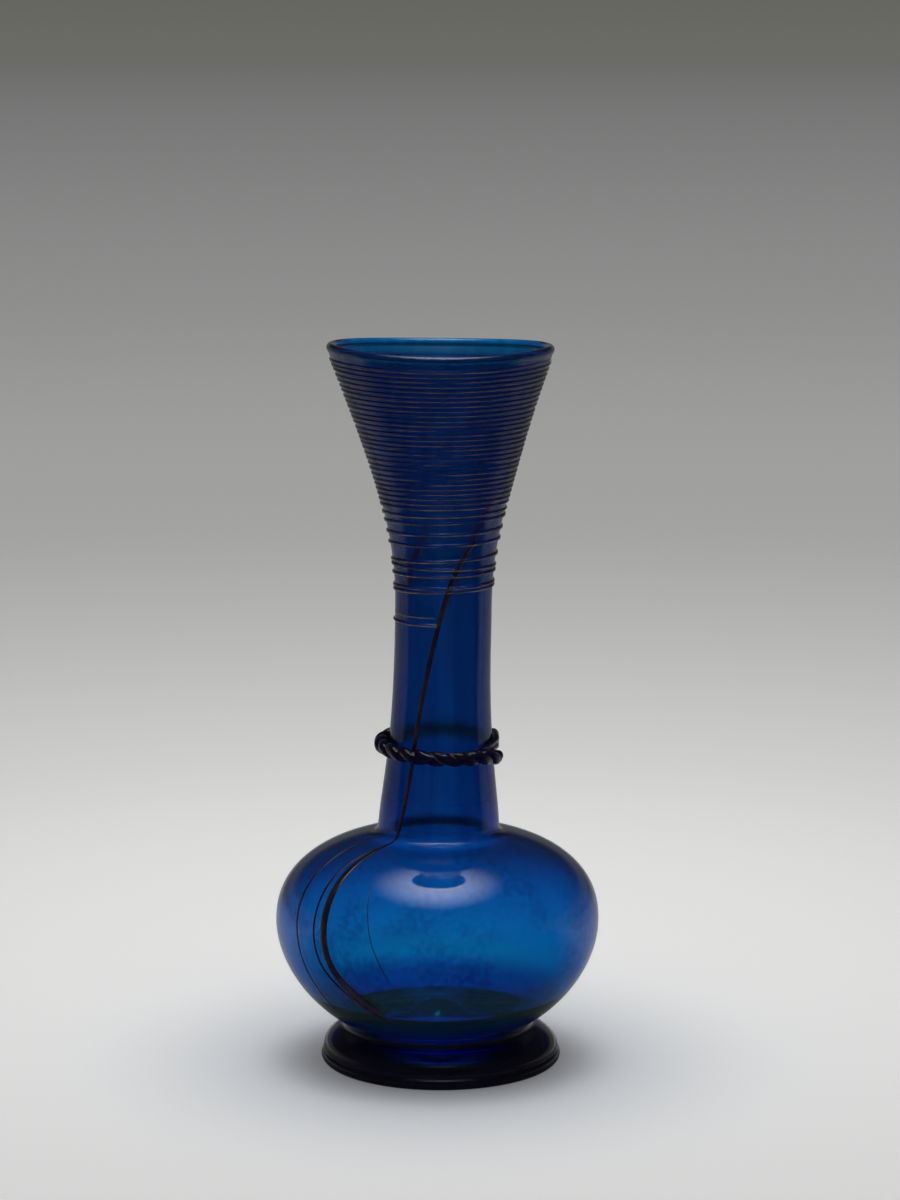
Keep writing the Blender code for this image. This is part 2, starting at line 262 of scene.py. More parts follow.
bottle = {
    "waistHeight": 0.0144,         # table to where the foot meets the body
    "lowerBodyHeight": 0.0353,
    "upperBodyHeight": 0.0310,
    "neckHeight": 0.0693,
    "funnelHeight": 0.1000,
    "kickRadius": 0.0180,
    "waistRadius": 0.0326,
    "bodyRadius": 0.0560,
    "neckRootRadius": 0.0211,
    "neckRadius": 0.0166,
    "lipRadius": 0.0380,
    "lowerFullness": 1.89,         # 2 is an ellipse, more is squarer
    "upperFullness": 2.36,
    "baseDrop": 0.0065,
    "kickRise": 0.0100,
    "rootFillet": 0.0015,
    "neckRootFlare": 0.08,
    "funnelFlare": 0.37,
    # How far the outline's curves are pulled, as shares of the funnel's and the neck's heights
    "lipPull": 0.61,
    "funnelRootPull": 0.24,
    "neckTopPull": 0.55,
    "neckRootPull": 0.29,
    "rimThickness": 0.0032,
    "rimOverhang": 0.0007,
    # The base between waist and base ring, as shares of that width and of the base's drop
    "baseEdgePull": 0.45,
    "baseEdgeFall": 0.75,
    "baseRingPull": 0.35,
    "baseWall": 0.0045,
    "kickWall": 0.0028,
    "baseWallRise": 0.0120,        # over the waist, to where the wall is thin
    "bodyWall": 0.0018,
    "neckWall": 0.0028,
    "neckLean": 0.0023,
    "mouthReturn": 0.0012,
    "footShift": 0.0011,
    "mouthDip": 0.0008,
    "mouthSaddle": 0.0014,
    "footRadius": 0.0417,
    "footEdge": 0.0042,
    "footLip": 0.0022,
    "footTopPull": 0.44,           # how full the foot's domed top is, as shares of its width
    "footTopFall": 0.16,           # and of its height
    "footSidePull": 0.50,
    "footStep": 0.0003,            # how far it stands out at the waist
    "footTaper": 0.0009,
    "beadOverlap": 0.0006,
    "beadHeight": 0.0042,          # of the rolled edge
    "standingWidth": 0.0086,
    "spinSteps": 112,
    "threadRow": 0.00018,          # height between rows of points where the thread is
    "strayRow": 0.00022,           # and where the broken half turn is
    "strayRows": (0.0043, 0.0092),
    "plainRow": 0.0014,
    "insideRow": 0.0022,
    "footRow": 0.0004,
    "seatReach": 0.0215,           # the base inside the foot's ring, out to this radius
    "handWave": 0.00013,           # how far the hand-made sides wander
    "outerBand": 0.0007,           # points this near the outline are on the outside
    "innerBand": 0.0011,           # and those further in than this face the hollow
}

thread = {
    "width": 0.00104,
    "proud": 0.00062,
    "pitch": 0.00174,
    "firstRise": 0.0150,           # over the neck's narrowest part
    "endGap": 0.0040,
    "bareRim": 0.0036,
    "wander": 0.00016,
    "rightWander": 0.0001,
    "startTurns": 0.15,            # half turns over which it comes to its full height
    "endTurns": 0.6,
    "leftRises": (16.4, 17.8, 22.2, 25.3, 26.7, 32.6, 36.4, 40.2, 43.0, 45.8),
    "rightRises": (17.8, 19.0, 22.9, 24.6, 28.8, 34.0, 37.8, 42.0, 44.0, 46.5),
    "strayRise": 5.7,              # the half turn left below the others, in mm as the rises above
    "strayFrom": 90.0,             # degrees from +X, counter-clockwise seen from above
    "strayTo": 265.0,
    "strayThins": (25, 1.5),       # degrees over which it thins at its two ends
    "scarFrom": 150.0,
    "scarRise": 8.1,
    "scarTo": 320.0,
    "scarProud": 0.00005,
}

waistZ = bottle["waistHeight"]
widestZ = waistZ + bottle["lowerBodyHeight"]
rootZ = widestZ + bottle["upperBodyHeight"]
narrowZ = rootZ + bottle["neckHeight"]
topZ = narrowZ + bottle["funnelHeight"]
rimZ = topZ - bottle["rimThickness"] / 2
threadLowZ = narrowZ + thread["firstRise"]


makeCamera()
makeStudio()       # here, because the light under the foot takes the foot's radius
print("camera and studio made")


def smooth(value, low, high):
    share = min(max((value - low) / (high - low), 0.0), 1.0)
    return share * share * (3 - 2 * share)


def along(course, where):
    # a value at a place on a course of pairs, eased between its neighbours
    places = [pair[0] for pair in course]
    step = min(max(bisect_left(places, where), 1), len(places) - 1)
    ends = [course[min(max(i, 0), len(course) - 1)] for i in range(step - 2, step + 2)]
    (a, va), (b, vb), (c, vc), (d, vd) = ends
    t = min(max((where - b) / (c - b), 0.0), 1.0)
    leaving = (vc - va) / (c - a) * (c - b)
    arriving = (vd - vb) / (d - b) * (c - b)
    eased = (2 * t ** 3 - 3 * t * t + 1) * vb + (3 * t * t - 2 * t ** 3) * vc
    return eased + (t ** 3 - 2 * t * t + t) * leaving + (t ** 3 - t * t) * arriving


def settle(x, y, z):
    # where a point of the upright bottle lies on the leaning one
    middleZ = (narrowZ + topZ) / 2
    lean = bottle["neckLean"] * smooth(z, widestZ, narrowZ + bottle["funnelHeight"] / 3)
    lean -= bottle["mouthReturn"] * smooth(z, middleZ, topZ)
    lean += bottle["footShift"] * (1 - smooth(z, bottle["footEdge"], waistZ))
    dip = bottle["mouthDip"] * x / (2 * bottle["lipRadius"])
    dip += bottle["mouthSaddle"] * (y / bottle["lipRadius"]) ** 2
    return Vector((x + lean, y, z - dip * smooth(z, middleZ, topZ)))


def curvePoints(start, startPull, endPull, end, steps):
    points = []
    for step in range(1, steps + 1):
        t = step / steps
        s = 1 - t
        weights = (s * s * s, 3 * s * s * t, 3 * s * t * t, t * t * t)
        ends = (start, startPull, endPull, end)
        points.append(tuple(sum(w * p[i] for w, p in zip(weights, ends)) for i in (0, 1)))
    return points


def bulgePoints(endRadius, endHeight, fullness, steps):
    endAngle = acos((endRadius / bottle["bodyRadius"]) ** (fullness / 2))
    depth = endHeight / sin(endAngle) ** (2 / fullness)
    points = []
    for step in range(steps + 1):
        angle = endAngle * step / steps
        radius = bottle["bodyRadius"] * cos(angle) ** (2 / fullness)
        points.append((radius, depth * sin(angle) ** (2 / fullness)))
    return points


def sideLine():
    # the outside from under the rim down to the waist
    lip = (bottle["lipRadius"], rimZ - bottle["rimThickness"] / 2)
    pull = bottle["lipPull"] * bottle["funnelHeight"]
    narrow = (bottle["neckRadius"], narrowZ)
    lipPull = (lip[0] - bottle["funnelFlare"] * pull, lip[1] - pull)
    narrowPull = (narrow[0], narrowZ + bottle["funnelRootPull"] * bottle["funnelHeight"])
    line = [lip] + curvePoints(lip, lipPull, narrowPull, narrow, 200)
    root = (bottle["neckRootRadius"], rootZ + bottle["rootFillet"])
    rise = bottle["neckRootPull"] * bottle["neckHeight"]
    line += curvePoints(narrow, (narrow[0], narrowZ - bottle["neckTopPull"] * bottle["neckHeight"]),
                        (root[0] - bottle["neckRootFlare"] * rise, root[1] + rise), root, 120)
    shoulder = bulgePoints(root[0] + bottle["rootFillet"], bottle["upperBodyHeight"],
                           bottle["upperFullness"], 90)
    line += [(radius, widestZ + height) for radius, height in reversed(shoulder)]
    lower = bulgePoints(bottle["waistRadius"], bottle["lowerBodyHeight"], bottle["lowerFullness"], 90)
    line += [(radius, widestZ - height) for radius, height in lower[1:]]
    return line


def baseLine():
    # inside the foot: from the waist down to the base ring and up the kick to the axis
    ringZ = waistZ - bottle["baseDrop"]
    inward = bottle["waistRadius"] - bottle["kickRadius"]
    edgePull = (bottle["waistRadius"] - bottle["baseEdgePull"] * inward,
                waistZ - bottle["baseEdgeFall"] * bottle["baseDrop"])
    ringPull = (bottle["kickRadius"] + bottle["baseRingPull"] * inward, ringZ)
    line = curvePoints((bottle["waistRadius"], waistZ), edgePull, ringPull, (bottle["kickRadius"], ringZ), 24)
    for step in range(1, 25):
        share = step / 24
        rise = bottle["kickRise"] * (1 - cos(pi * share)) / 2
        line.append((bottle["kickRadius"] * (1 - share), ringZ + rise))
    return line


def rowsAlong(line, spacingAt):
    rows = [line[0]]
    target, travelled = spacingAt(line[0][1]), 0.0
    for start, end in zip(line, line[1:]):
        length, position = hypot(end[0] - start[0], end[1] - start[1]), 0.0
        while travelled + length - position >= target:
            position += target - travelled
            share = position / length
            row = tuple(a + (b - a) * share for a, b in zip(start, end))
            rows.append(row)
            target, travelled = spacingAt(row[1]), 0.0
        travelled += length - position
    rows.append(line[-1])
    return rows


def outsideSpacing(z):
    if threadLowZ - 0.001 < z:
        return bottle["threadRow"]
    low, high = bottle["strayRows"]
    if narrowZ + low < z < narrowZ + high:
        return bottle["strayRow"]
    return bottle["plainRow"]


def wallAt(radius, z):
    outward = smooth(radius, 0, bottle["waistRadius"])
    base = bottle["kickWall"] + (bottle["baseWall"] - bottle["kickWall"]) * outward
    body = base + (bottle["bodyWall"] - base) * smooth(z, waistZ, waistZ + bottle["baseWallRise"])
    return body + (bottle["neckWall"] - bottle["bodyWall"]) * smooth(z, widestZ, rootZ)


def insideLine(line):
    inner = []
    for before, point, after in zip(line, line[1:], line[2:]):
        ahead = Vector((after[0] - before[0], after[1] - before[1])).normalized()
        wall = wallAt(*point)
        inner.append((point[0] + wall * ahead.y, point[1] - wall * ahead.x))
    return inner + [(0.0, line[-1][1] + wallAt(*line[-1]))]


def rimLine():
    middle = bottle["lipRadius"] + bottle["rimOverhang"] - bottle["rimThickness"] / 2
    half = bottle["rimThickness"] / 2
    return [(middle + half * cos(radians(a)), rimZ + half * sin(radians(a))) for a in range(-20, 211, 14)]


def footLine():
    # from the waist down over the domed top and the edge to the inner side of the underside
    corner = (bottle["waistRadius"] + bottle["footStep"], waistZ - bottle["footLip"])
    edgeTop = (bottle["footRadius"] - bottle["footTaper"], bottle["beadHeight"] + bottle["beadOverlap"])
    width, height = edgeTop[0] - corner[0], corner[1] - edgeTop[1]
    topPull = (corner[0] + bottle["footTopPull"] * width, corner[1] - bottle["footTopFall"] * height)
    sidePull = (edgeTop[0], edgeTop[1] + bottle["footSidePull"] * height)
    line = [(bottle["waistRadius"], waistZ), corner] + curvePoints(corner, topPull, sidePull, edgeTop, 16)
    half = bottle["beadHeight"] / 2
    edgeX = bottle["footRadius"] - half
    line += [(edgeX + half * cos(radians(a)), half + half * sin(radians(a))) for a in range(64, -91, -14)]
    line.append((edgeX - bottle["standingWidth"], 0.0))
    return line


def soften(line, low, high, rounds):
    for _ in range(rounds):
        rounded = list(line)
        for i in range(1, len(line) - 1):
            if low < line[i][1] < high:
                rounded[i] = tuple((line[i - 1][k] + 2 * line[i][k] + line[i + 1][k]) / 4 for k in (0, 1))
        line = rounded
    return line


side = sideLine()
sideZs = [point[1] for point in reversed(side)]
sideRadii = [point[0] for point in reversed(side)]


def sideRadius(z):
    i = min(max(bisect_left(sideZs, z), 1), len(sideZs) - 1)
    share = (z - sideZs[i - 1]) / (sideZs[i] - sideZs[i - 1])
    return sideRadii[i - 1] + (sideRadii[i] - sideRadii[i - 1]) * share


def bottleProfile():
    # from the kick's middle out, up the outside, over the rim and down inside
    base = baseLine()
    seat = [point for point in base if point[0] < bottle["seatReach"]]
    foot = soften(rowsAlong(footLine(), lambda z: bottle["footRow"]), waistZ - 0.0045, waistZ + 0.001, 3)
    outside = rowsAlong(side, outsideSpacing)
    outside = outside[:-1] + foot
    outside = soften(outside, waistZ - 0.003, waistZ + 0.003, 6)
    inner = rowsAlong(insideLine(side + base), lambda z: bottle["insideRow"])
    return list(reversed(outside + seat)) + rimLine() + inner


def halfTurnHeights():
    # heights at every half turn, left side first, from the lowest full turn up
    rolls = random.Random(7)
    heights = []
    for left, right in zip(thread["leftRises"], thread["rightRises"]):
        heights += [narrowZ + left * mm, narrowZ + right * mm]
    last = topZ - thread["endGap"]
    leftZ = heights[-2] + thread["pitch"]
    while leftZ < last:
        wander = rolls.uniform(-1, 1) * thread["wander"]
        rightWander = rolls.uniform(-1, 1) * thread["rightWander"]
        heights += [leftZ + wander, leftZ + thread["pitch"] / 2 + wander / 2 + rightWander]
        leftZ += thread["pitch"]
    return heights


halfTurns = halfTurnHeights()


def crestsAt(angle):
    # heights and strengths of the turns at an angle from +X, the lowest first
    turned = ((angle - pi) % (2 * pi)) / pi          # half turns since the left side
    crests = []
    for start in range(-2, len(halfTurns), 2):
        step = start + turned
        if step < -0.5 or step > len(halfTurns) - 1:
            continue
        low = max(int(step // 1), 0)
        share = step - low
        z = halfTurns[low] + (halfTurns[min(low + 1, len(halfTurns) - 1)] - halfTurns[low]) * share
        left = len(halfTurns) - 1 - step
        ends = min(1.0, (step + 0.5) / thread["startTurns"], left / thread["endTurns"])
        crests.append((z, thread["proud"] * sqrt(max(ends, 0.0))))
    degreesTurned = (angle % (2 * pi)) * 180 / pi
    if thread["strayFrom"] < degreesTurned < thread["strayTo"]:
        thin = min(1.0, (degreesTurned - thread["strayFrom"]) / thread["strayThins"][0],
                   (thread["strayTo"] - degreesTurned) / thread["strayThins"][1])
        crests.insert(0, (narrowZ + thread["strayRise"] * mm, thread["proud"] * thin))
    if thread["scarFrom"] < degreesTurned < thread["scarTo"]:
        crests.insert(1, (narrowZ + thread["scarRise"] * mm, thread["scarProud"]))
    return sorted(crests)


def threadRelief(crests, z):
    half = thread["width"] / 2
    i = bisect_left(crests, (z, 0.0))
    relief = 0.0
    for height, proud in crests[max(i - 1, 0):i + 1]:
        away = (z - height) / half
        if abs(away) < 1:
            relief = max(relief, proud * sqrt(1 - away * away))
    return relief


def handWave(angle, z):
    place = Vector((1.6 * cos(angle), 1.6 * sin(angle), z * 45))
    return bottle["handWave"] * noise.noise(place)


def spinProfile(name, profile):
    clearAll()
    radius, z = profile[0]
    bpy.ops.mesh.primitive_plane_add(size=0.001, location=(0, 0, 0))
    piece = bpy.context.object
    piece.name = name
    bpy.ops.object.mode_set(mode="EDIT")
    bpy.ops.mesh.select_all(action="SELECT")
    bpy.ops.mesh.merge(type="CENTER")
    bpy.ops.transform.translate(value=(radius, 0, z))
    for start, end in zip(profile, profile[1:]):
        step = (end[0] - start[0], 0, end[1] - start[1])
        bpy.ops.mesh.extrude_region_move(TRANSFORM_OT_translate={"value": step})
    bpy.ops.mesh.select_all(action="SELECT")
    bpy.ops.mesh.spin(steps=bottle["spinSteps"], angle=2 * pi, center=(0, 0, 0), axis=(0, 0, 1))
    bpy.ops.mesh.select_all(action="SELECT")
    bpy.ops.mesh.remove_doubles(threshold=0.000002)
    bpy.ops.mesh.normals_make_consistent(inside=False)
    bpy.ops.object.mode_set(mode="OBJECT")
    return piece


def markHollow(piece):
    # one on the side of the glass that faces the hollow, nothing on the outside
    hollow = piece.data.attributes.new("hollow", "FLOAT", "POINT")
    for vertex in piece.data.vertices:
        x, y, z = vertex.co
        radius = hypot(x - bottle["neckLean"] * smooth(z, widestZ, narrowZ), y)
        if z > waistZ + 0.001:
            inside = radius < sideRadius(min(z, rimZ - 0.002)) - bottle["innerBand"]
        else:
            inside = radius < bottle["waistRadius"] - 0.001 and vertex.normal.z > 0.1
        hollow.data[vertex.index].value = 1.0 if inside and z < topZ - 0.0035 else 0.0


# Broad faint brown streaks, which tint the bottle's own glass

softStreaks = {
    # degrees from +X and millimetres over the neck's narrowest part, then the width in mm
    "main": ((-92, 6, 0.5), (-77, 20, 2.0), (-58, 36, 4.0), (-44, 47, 5.0), (-34, 57, 3.0)),
    "left": ((-168, -60, 1.0), (-172, -25, 2.0), (-156, 7, 3.0), (-142, 16, 3.4), (-130, 25, 3.6),
             (-113, 35, 3.8), (-97, 46, 3.0)),
}


def brownShare(angle, z):
    # how brown the glass is from the broad faint streaks
    most = 0.0
    rise = (z - narrowZ) / mm
    for course in softStreaks.values():
        if not course[0][1] < rise < course[-1][1]:
            continue
        middle = radians(along([(place, turned) for turned, place, width in course], rise))
        width = along([(place, width) for turned, place, width in course], rise) * mm
        away = (angle - middle + pi) % (2 * pi) - pi
        ends = min(1.0, (rise - course[0][1]) / 8, (course[-1][1] - rise) / 12)
        most = max(most, ends * exp(-(2 * away * sideRadius(z) / width) ** 2))
    return most


def makeBottle():
    piece = spinProfile("blownBottle", bottleProfile())
    columns, reliefs = {}, {}
    brown = piece.data.attributes.new("brown", "FLOAT", "POINT")
    for vertex in piece.data.vertices:
        x, y, z = vertex.co
        radius = hypot(x, y)
        if radius > 0.00001:
            angle = atan2(y, x)
            push = handWave(angle, z) * smooth(z, 0.0, 0.02)
            outside = radius > sideRadius(z) - bottle["outerBand"]
            if outside and narrowZ < z < topZ - thread["bareRim"]:
                column = round(angle * bottle["spinSteps"] / (2 * pi)) % bottle["spinSteps"]
                if column not in columns:
                    columns[column] = crestsAt(angle)
                reliefs[vertex.index] = threadRelief(columns[column], z)
                push += reliefs[vertex.index]
            if outside and z > rootZ + 0.005:
                brown.data[vertex.index].value = brownShare(angle, z)
            x, y = x * (radius + push) / radius, y * (radius + push) / radius
        vertex.co = settle(x, y, z)
    piece.data.shade_smooth()
    markHollow(piece)
    wound = piece.data.attributes.new("wound", "FLOAT", "POINT")
    for index, relief in reliefs.items():
        wound.data[index].value = relief / thread["proud"]
    return piece


def surfacePoint(angle, z, lift=0.0):
    radius = sideRadius(z) + handWave(angle, z)
    slope = (sideRadius(z + 0.0002) - sideRadius(z - 0.0002)) / 0.0004
    tip = sqrt(1 + slope * slope)
    radius += lift / tip
    return settle(radius * cos(angle), radius * sin(angle), z - lift * slope / tip)


# Effects that the glasses share

def makeGroup(name, inputs, outputs):
    group = bpy.data.node_groups.new(name, "ShaderNodeTree")
    for label, kind, value in inputs:
        socket = group.interface.new_socket(name=label, in_out="INPUT", socket_type=kind)
        socket.default_value = value
    for label, kind in outputs:
        group.interface.new_socket(name=label, in_out="OUTPUT", socket_type=kind)
    return group


def makeHazeGroup():
    group = makeGroup("weatherHaze",
                      [("Broad Scale", "NodeSocketFloat", 30.0), ("Fine Scale", "NodeSocketFloat", 300.0),
                       ("Contrast", "NodeSocketFloat", 2.0)],
                      [("Mask", "NodeSocketFloat")])
    inside = addNode(group, "NodeGroupInput", (-900, 0))
    outside = addNode(group, "NodeGroupOutput", (500, 0))
    place = addNode(group, "ShaderNodeTexCoord", (-900, -250))
    broad = addNoise(group, (-600, 100), place.outputs["Object"], inside.outputs["Broad Scale"], 6.0)
    fine = addNoise(group, (-600, -200), place.outputs["Object"], inside.outputs["Fine Scale"], 8.0, 0.7)
    both = workOut(group, (-350, 0), "MULTIPLY", broad, fine)
    sharp = workOut(group, (-150, 0), "POWER", both, inside.outputs["Contrast"])
    group.links.new(sharp, outside.inputs["Mask"])
    return group


hazeGroup = makeHazeGroup()

cobaltGlass = {
    "ior": 1.50,
    "clearness": 0.98,             # the rest is the faint haze of weathering
    "hazeScales": (35.0, 380.0),
    "hazeContrast": 1.5,
    "hazeEdge": (0.10, 0.22),
    "roughness": 0.006,
    "hazeRoughness": 0.02,
    "hollowRoughness": 0.02,       # the side that faces the hollow is dulled, most of all in the neck
    "hollowHazeRoughness": 0.10,
    "neckRoughness": 0.30,
    "floorRoughness": 0.12,
    "clearTint": (0.20, 0.985, 0.95, 1.0),
    "hazeTint": (0.20, 0.62, 0.68, 1.0),
    "lowTint": (0.22, 0.93, 0.80, 1.0),        # greyer low on the body
    # painted blue light: the foot is tinted deeper blue to stand in for the light that comes through its
    # thick glass
    "paintedFootLight": (0.36, 0.34, 1.0, 1.0),
    "neckTint": (0.15, 0.60, 0.64, 1.0),
    "neckBandTint": (0.20, 0.78, 0.76, 1.0),   # paler bands drawn out along the neck
    "brownTint": (0.90, 0.22, 0.16, 1.0),      # broad faint streaks in the neck and funnel
    "threadTint": (0.42, 0.42, 0.46, 1.0),
    "soilTint": (0.10, 0.09, 0.10, 1.0),       # soil left in the hollow on the pushed-up base
    "soilMiddle": (0.0, -0.002, 0.0205),
    "soilEdge": (0.0105, 0.0165),
    "soilRagged": 0.010,
    "soilScale": 220.0,
    "footEdge": (waistZ - 0.004, waistZ + 0.003),
    "lowStart": (0.0195, 0.0215),              # heights over which the low glass's tint comes and goes
    "lowEnd": (0.026, 0.038),
    "floorEdge": (0.020, 0.030),
    "neckTintEdge": (rootZ - 0.012, rootZ + 0.008),
    "neckDullEdge": (rootZ + 0.001, rootZ + 0.016),
    "bandScale": 170.0,
    "bandStretch": 0.05,
    "bandEdge": (0.42, 0.62),
    "absorbColour": (0.0, 0.697, 0.909, 1.0),
    "absorbDensity": 1580.0,
}

darkCobaltGlass = {
    "ior": 1.50,
    "clearness": 0.96,
    "hazeScales": (60.0, 200.0),
    "hazeContrast": 1.5,
    "hazeEdge": (0.10, 0.22),
    "roughness": 0.025,
    "hazeRoughness": 0.06,
    "clearTint": (0.14, 0.11, 0.70, 1.0),
    "hazeTint": (0.22, 0.13, 0.50, 1.0),
    "absorbColour": (0.0, 0.30, 0.60, 1.0),
    "absorbDensity": 2600.0,
}


def startGlass(name, values):
    # clear glass that absorbs by its depth, and the mask of its haze
    glass = bpy.data.materials.new(name)
    glass.use_nodes = True
    tree = glass.node_tree
    shader = tree.nodes["Principled BSDF"]
    shader.inputs["IOR"].default_value = values["ior"]
    shader.inputs["Metallic"].default_value = 0.0
    shader.inputs["Transmission Weight"].default_value = values["clearness"]
    haze = addNode(tree, "ShaderNodeGroup", (-1100, 0), node_tree=hazeGroup)
    haze.inputs["Broad Scale"].default_value = values["hazeScales"][0]
    haze.inputs["Fine Scale"].default_value = values["hazeScales"][1]
    haze.inputs["Contrast"].default_value = values["hazeContrast"]
    depth = addNode(tree, "ShaderNodeVolumeAbsorption", (0, -500))
    depth.inputs["Color"].default_value = values["absorbColour"]
    depth.inputs["Density"].default_value = values["absorbDensity"]
    tree.links.new(depth.outputs["Volume"], tree.nodes["Material Output"].inputs["Volume"])
    return glass, fade(tree, (-900, 0), haze.outputs["Mask"], *values["hazeEdge"])


def roughBetween(tree, place, share, low, high):
    node = addNode(tree, "ShaderNodeMapRange", place)
    plug(tree, node.inputs["Value"], share)
    plug(tree, node.inputs["To Min"], low)
    plug(tree, node.inputs["To Max"], high)
    return node.outputs["Result"]


def makeCobaltGlass():
    values = cobaltGlass
    glass, hazy = startGlass("cobaltGlass", values)
    tree = glass.node_tree
    shader = tree.nodes["Principled BSDF"]
    hollow = addNode(tree, "ShaderNodeAttribute", (-1100, -300), attribute_name="hollow")
    place = addNode(tree, "ShaderNodeTexCoord", (-1500, 300))
    parts = addNode(tree, "ShaderNodeSeparateXYZ", (-1300, 300))
    tree.links.new(place.outputs["Object"], parts.inputs["Vector"])
    up = parts.outputs["Z"]
    neck = fade(tree, (-900, 300), up, *values["neckTintEdge"])
    tint = blend(tree, (-700, 150), hazy, values["clearTint"], values["hazeTint"])
    drawn = addNode(tree, "ShaderNodeVectorMath", (-1300, 450), operation="MULTIPLY")
    drawn.inputs[1].default_value = (1.0, 1.0, values["bandStretch"])
    tree.links.new(place.outputs["Object"], drawn.inputs[0])
    bands = addNoise(tree, (-1100, 450), drawn.outputs["Vector"], values["bandScale"])
    band = fade(tree, (-900, 450), bands, *values["bandEdge"])
    neckTone = blend(tree, (-700, 450), band, values["neckTint"], values["neckBandTint"])
    tint = blend(tree, (-500, 150), neck, tint, neckTone)
    brown = addNode(tree, "ShaderNodeAttribute", (-1100, -700), attribute_name="brown")
    tint = blend(tree, (-450, 150), brown.outputs["Fac"], tint, values["brownTint"])
    aboveFoot = fade(tree, (-900, 1100), up, *values["lowStart"])
    belowMiddle = fade(tree, (-900, 1300), up, *values["lowEnd"], 1.0, 0.0)
    lowBody = workOut(tree, (-700, 1100), "MULTIPLY", aboveFoot, belowMiddle)
    tint = blend(tree, (-450, 500), lowBody, tint, values["lowTint"])
    # the foot, outside the hollow, takes the painted blue light
    foot = fade(tree, (-900, 900), up, *values["footEdge"], 1.0, 0.0)
    foot = workOut(tree, (-700, 900), "SUBTRACT", foot, hollow.outputs["Fac"])
    foot = workOut(tree, (-600, 900), "MAXIMUM", foot, 0.0)
    tint = blend(tree, (-450, 350), foot, tint, values["paintedFootLight"])
    wound = addNode(tree, "ShaderNodeAttribute", (-1100, -500), attribute_name="wound")
    tint = blend(tree, (-400, 150), wound.outputs["Fac"], tint, values["threadTint"])
    reach = distanceFrom(tree, (-1300, 600), place.outputs["Object"], values["soilMiddle"])
    mottle = addNoise(tree, (-1300, 800), place.outputs["Object"], values["soilScale"], 6.0)
    ragged = workOut(tree, (-1100, 800), "MULTIPLY", mottle, values["soilRagged"])
    reach = workOut(tree, (-1100, 600), "ADD", reach, ragged)
    soil = fade(tree, (-900, 600), reach, *values["soilEdge"], 1.0, 0.0)
    soil = workOut(tree, (-700, 600), "MULTIPLY", soil, hollow.outputs["Fac"])
    tint = blend(tree, (-300, 150), soil, tint, values["soilTint"])
    outer = roughBetween(tree, (-700, -150), hazy, values["roughness"], values["hazeRoughness"])
    inner = roughBetween(tree, (-700, -350), hazy, values["hollowRoughness"], values["hollowHazeRoughness"])
    dull = fade(tree, (-900, -900), up, *values["neckDullEdge"])
    inner = roughBetween(tree, (-500, -350), dull, inner, values["neckRoughness"])
    low = fade(tree, (-700, -500), up, *values["floorEdge"], 1.0, 0.0)
    inner = roughBetween(tree, (-400, -350), low, inner, values["floorRoughness"])
    rough = roughBetween(tree, (-300, -250), hollow.outputs["Fac"], outer, inner)
    tree.links.new(tint, shader.inputs["Base Color"])
    tree.links.new(rough, shader.inputs["Roughness"])
    return glass


def makeDarkGlass():
    values = darkCobaltGlass
    glass, hazy = startGlass("darkCobaltGlass", values)
    tree = glass.node_tree
    shader = tree.nodes["Principled BSDF"]
    tint = blend(tree, (-500, 150), hazy, values["clearTint"], values["hazeTint"])
    rough = roughBetween(tree, (-500, -150), hazy, values["roughness"], values["hazeRoughness"])
    tree.links.new(tint, shader.inputs["Base Color"])
    tree.links.new(rough, shader.inputs["Roughness"])
    return glass


blownBottle = makeBottle()
blownBottle.data.materials.append(makeCobaltGlass())
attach(blownBottle, "root")
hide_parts("vessel", "foot", "wound_thread", "thread_end")
print("bottle made,", len(blownBottle.data.vertices), "points")


# The twisted collar: two strands wound together and laid round the neck

collar = {
    "thickness": 0.0053,
    "strandShare": 0.70,           # a strand's thickness as a share of the cane's
    "tailShare": 0.50,             # and in the tail, where they lie one over the other
    "tailFrom": (58.0, 84.0),      # degrees before the tip over which the twist ends
    "strandPitch": 0.0126,
    # degrees from +X, the blunt end first, and the cane's height over the neck's root in mm
    "course": ((-14, 27.4), (-45, 29.0), (-90, 29.8), (-180, 31.4), (-270, 32.6), (-360, 31.7), (-412, 31.5)),
    "taper": 60.0,                # degrees over which the upper end thins out
    "tip": 0.32,
    "sink": 0.0002,                # how far the cane is pressed into the neck
    "tailOut": 0.0010,             # how far the tip stands out over the blunt end
    "stepsPerTwist": 18,
    "voxel": 0.00026,
    "gritWidth": 0.00030,          # of the gold-brown crust in the grooves
    "gritEdge": (-0.25, 0.2),      # how much of it has stayed, as limits of its noise
    "gritFront": (0.1, 0.5),       # only where the grooves face outwards
}


